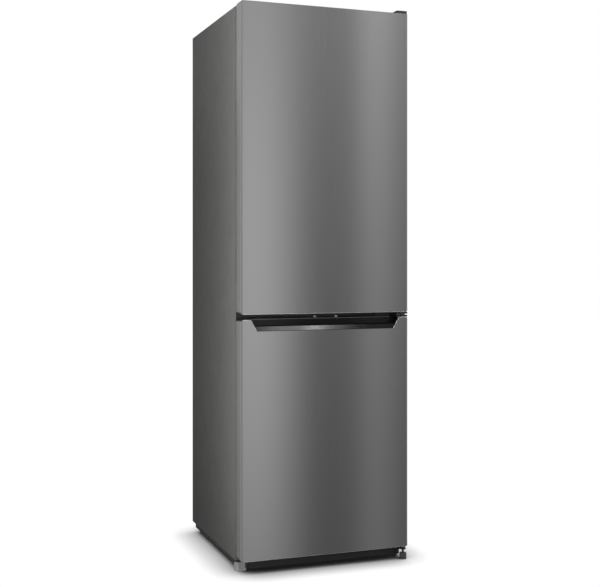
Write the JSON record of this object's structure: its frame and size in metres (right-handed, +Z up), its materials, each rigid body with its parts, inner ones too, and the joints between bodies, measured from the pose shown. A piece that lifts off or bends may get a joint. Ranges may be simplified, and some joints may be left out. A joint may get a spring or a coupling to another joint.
{
  "type": "fridge freezer",
  "caption": "Upright refrigerator over a freezer, with two right-hinged dark brushed doors, a recessed grip between them, shelves, drawers, levelling feet and rear rollers",
  "frame": {"origin": "On the floor under the middle of the bounding box", "axes": "+Z up, the doors face -Y, +X is the hinge side, on the right when seen from the front"},
  "size_m": [0.595, 0.62, 1.87],
  "materials": {
    "side_steel": "painted dark grey sheet, fine brushed look",
    "door_steel": "vertically brushed dark stainless look with a clear coat",
    "galvanised": "galvanised sheet",
    "black_steel": "black paint",
    "foam": "rigid insulating foam",
    "white_liner": "gloss white polystyrene",
    "grey_steel": "grey paint",
    "black_plastic": "black plastic",
    "zinc": "zinc plated",
    "cover_plastic": "dark grey plastic",
    "copper": "bare copper",
    "rubber_black": "black rubber",
    "relay_plastic": "off-white plastic",
    "tray_plastic": "light grey plastic",
    "glass": "clear toughened glass",
    "trim_silver": "silver plastic",
    "clear_plastic": "clear polystyrene",
    "lens": "frosted lens",
    "aluminium": "bare aluminium",
    "gasket": "dark grey magnetic gasket",
    "bush_plastic": "acetal",
    "grip_black": "gloss black plastic",
    "foot_silver": "grey plastic",
    "foot_dark": "dark grey plastic"
  },
  "bodies": {
    "cabinet": {"cabinet_wrap": "side_steel", "back_panel": "galvanised", "base_pan": "black_steel", "cabinet_foam": "foam", "fridge_liner": "white_liner", "freezer_liner": "white_liner", "mullion_bar": "grey_steel", "kick_plate": "black_plastic", "top_hinge_bracket": "zinc", "top_hinge_cover": "cover_plastic", "middle_hinge_bracket": "zinc", "mullion_trim": "black_plastic", "bottom_hinge_bracket": "black_steel", "hinge_screws": "zinc", "roller_brackets": "galvanised", "compressor": "black_steel", "compressor_grommets": "rubber_black", "relay_box": "relay_plastic", "refrigerant_pipes": "copper", "filter_dryer": "copper", "drip_tray": "tray_plastic", "compressor_cover": "galvanised", "mains_gland": "black_plastic", "glass_shelves": "glass", "shelf_trims": "trim_silver", "crisper_cover": "glass", "lamp_lens": "lens", "control_housing": "white_liner", "air_duct_cover": "white_liner", "evaporator_cover": "white_liner", "evaporator": "aluminium", "fan_motor": "black_plastic", "freezer_shelves": "glass"},
    "upper_door": {"upper_door_skin": "door_steel", "upper_door_core": "foam", "upper_door_liner": "white_liner", "upper_door_gasket": "gasket", "upper_door_caps": "black_plastic", "upper_door_bushes": "bush_plastic", "door_bin_1": "clear_plastic", "door_bin_2": "clear_plastic", "door_bin_3": "clear_plastic", "bottle_bin": "clear_plastic"},
    "lower_door": {"lower_door_skin": "door_steel", "lower_door_core": "foam", "lower_door_liner": "white_liner", "lower_door_gasket": "gasket", "lower_door_caps": "black_plastic", "lower_door_bushes": "bush_plastic", "grip_moulding": "grip_black"},
    "crisper": {"crisper_drawer": "clear_plastic"},
    "low_freezer_drawer": {"freezer_drawer_1": "clear_plastic"},
    "mid_freezer_drawer": {"freezer_drawer_2": "clear_plastic"},
    "top_freezer_drawer": {"freezer_drawer_3": "clear_plastic"},
    "left_foot": {"foot_left": "foot_silver"},
    "right_foot": {"foot_right": "foot_dark"},
    "left_roller": {"roller_left": "black_plastic"},
    "right_roller": {"roller_right": "black_plastic"},
    "fan_rotor": {"air_fan": "relay_plastic"},
    "dial": {"temperature_dial": "trim_silver"}
  },
  "joints": [
    {"name": "upper_door_hinge", "type": "hinge", "parent": "cabinet", "child": "upper_door", "pos_m": [0.2845, -0.298, 1.35275], "axis": [0, 0, 1], "range_deg": [0, 125]},
    {"name": "lower_door_hinge", "type": "hinge", "parent": "cabinet", "child": "lower_door", "pos_m": [0.2845, -0.298, 0.4355], "axis": [0, 0, 1], "range_deg": [0, 125]},
    {"name": "crisper_slide", "type": "slide", "parent": "cabinet", "child": "crisper", "axis": [0, -1, 0], "range_m": [0, 0.02]},
    {"name": "low_freezer_drawer_slide", "type": "slide", "parent": "cabinet", "child": "low_freezer_drawer", "axis": [0, -1, 0], "range_m": [0, 0.02]},
    {"name": "mid_freezer_drawer_slide", "type": "slide", "parent": "cabinet", "child": "mid_freezer_drawer", "axis": [0, -1, 0], "range_m": [0, 0.02]},
    {"name": "top_freezer_drawer_slide", "type": "slide", "parent": "cabinet", "child": "top_freezer_drawer", "axis": [0, -1, 0], "range_m": [0, 0.02]},
    {"name": "left_foot_thread", "type": "hinge", "parent": "cabinet", "child": "left_foot", "pos_m": [-0.2775, -0.235, 0.015], "axis": [0, 0, 1], "continuous": true},
    {"name": "right_foot_thread", "type": "hinge", "parent": "cabinet", "child": "right_foot", "pos_m": [0.2845, -0.298, 0.015], "axis": [0, 0, 1], "continuous": true},
    {"name": "left_roller_axle", "type": "hinge", "parent": "cabinet", "child": "left_roller", "pos_m": [-0.2695, 0.268, 0.015], "axis": [1, 0, 0], "continuous": true},
    {"name": "right_roller_axle", "type": "hinge", "parent": "cabinet", "child": "right_roller", "pos_m": [0.2695, 0.268, 0.015], "axis": [1, 0, 0], "continuous": true},
    {"name": "fan_shaft", "type": "hinge", "parent": "cabinet", "child": "fan_rotor", "pos_m": [0, 0.2057, 0.7325], "axis": [0, 1, 0], "continuous": true},
    {"name": "dial_turn", "type": "hinge", "parent": "cabinet", "child": "dial", "pos_m": [0, -0.167, 1.7857], "axis": [0, 0, -1], "range_deg": [0, 300]}
  ]
}
